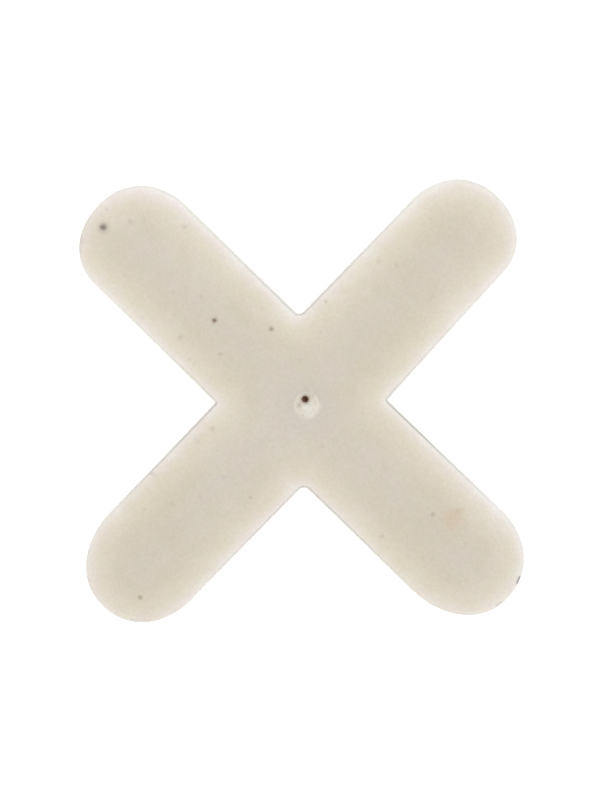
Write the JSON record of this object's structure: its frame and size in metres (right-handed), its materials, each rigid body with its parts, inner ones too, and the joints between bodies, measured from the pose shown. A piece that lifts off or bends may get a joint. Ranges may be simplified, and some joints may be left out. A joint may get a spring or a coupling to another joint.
{
  "type": "tile spacer",
  "caption": "Flat cross-shaped spacer with round-ended arms, which keeps an even grout joint where tile corners meet.",
  "frame": {"origin": "middle of the cross, on its base face", "axes": "+Z out of the gate face, +X and +Y along two arms"},
  "size_m": [0.03, 0.03, 0.0048],
  "materials": {
    "moulded_body": "matte"
  },
  "bodies": {
    "root": {"spacer": "moulded_body"}
  },
  "joints": []
}
